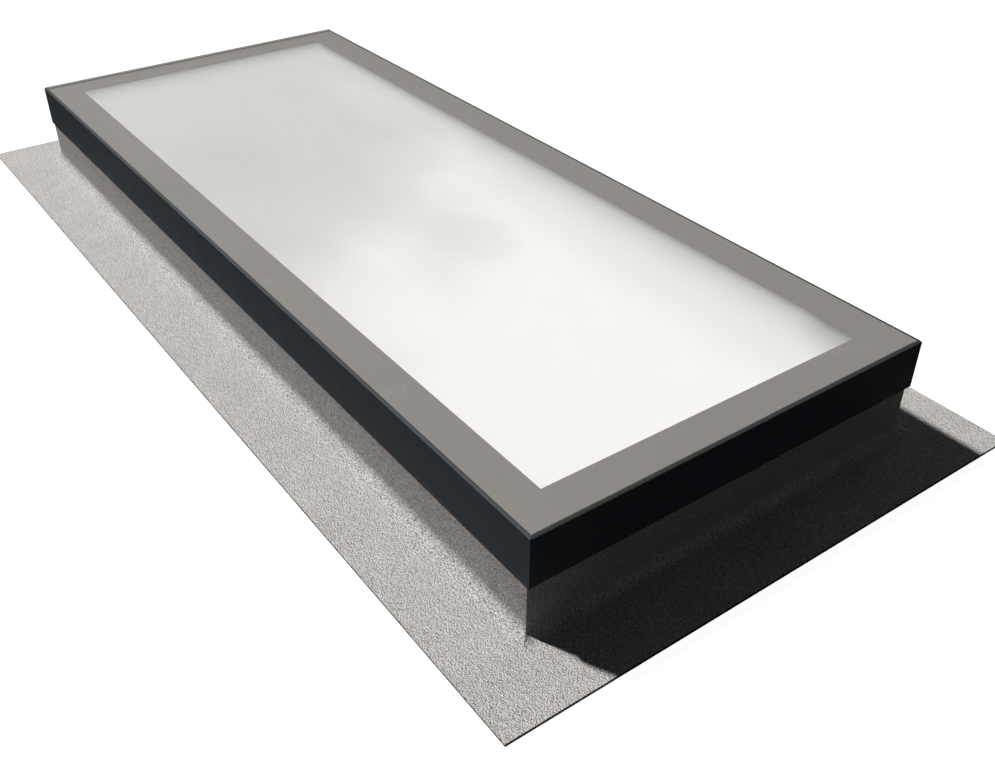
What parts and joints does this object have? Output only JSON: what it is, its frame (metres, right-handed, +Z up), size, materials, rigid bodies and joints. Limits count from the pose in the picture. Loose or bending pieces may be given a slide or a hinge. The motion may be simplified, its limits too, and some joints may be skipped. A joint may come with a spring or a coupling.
{
  "type": "roof skylight",
  "caption": "Fixed flat-glass roof skylight: dark metal frame with a flush white diffusing pane and grey border, on a kerb dressed in a pale roofing membrane with a flat skirt.",
  "frame": {"origin": "middle of the skylight on the roof deck, under the kerb", "axes": "+X along the length, +Y across the width, +Z up"},
  "size_m": [2.806, 1.32, 0.2385],
  "materials": {
    "frame_coat": "dark grey powder coat, matt",
    "inner_coat": "white powder coat, satin",
    "clear_glass": "clear, polished",
    "opal_glass": "white, diffusing",
    "grey_enamel": "mid grey fired print, matt",
    "spacer_foam": "mid grey, matt",
    "black_seal": "black, matt",
    "break_plastic": "black, matt",
    "cleat_metal": "mill finish",
    "screw_steel": "zinc plated",
    "kerb_timber": "planed softwood",
    "roof_membrane": "light grey, finely granular, matt"
  },
  "bodies": {
    "root": {"angle_fillet_back": "kerb_timber", "angle_fillet_front": "kerb_timber", "angle_fillet_left": "kerb_timber", "angle_fillet_right": "kerb_timber", "corner_cleats": "cleat_metal", "edge_sealant": "black_seal", "enamel_band": "grey_enamel", "fixing_screws": "screw_steel", "frame_rail_back": "frame_coat", "frame_rail_front": "frame_coat", "frame_rail_left": "frame_coat", "frame_rail_right": "frame_coat", "glazing_bed": "black_seal", "inner_corner_cleats": "cleat_metal", "inner_pane": "opal_glass", "inner_rail_back": "inner_coat", "inner_rail_front": "inner_coat", "inner_rail_left": "inner_coat", "inner_rail_right": "inner_coat", "kerb_board_back": "kerb_timber", "kerb_board_front": "kerb_timber", "kerb_board_left": "kerb_timber", "kerb_board_right": "kerb_timber", "kerb_seal": "black_seal", "membrane_skirt": "roof_membrane", "outer_pane": "clear_glass", "pane_gasket": "black_seal", "setting_blocks": "break_plastic", "spacer_bar": "spacer_foam", "thermal_break_back": "break_plastic", "thermal_break_front": "break_plastic", "thermal_break_left": "break_plastic", "thermal_break_right": "break_plastic", "weather_seal": "black_seal"}
  },
  "joints": []
}
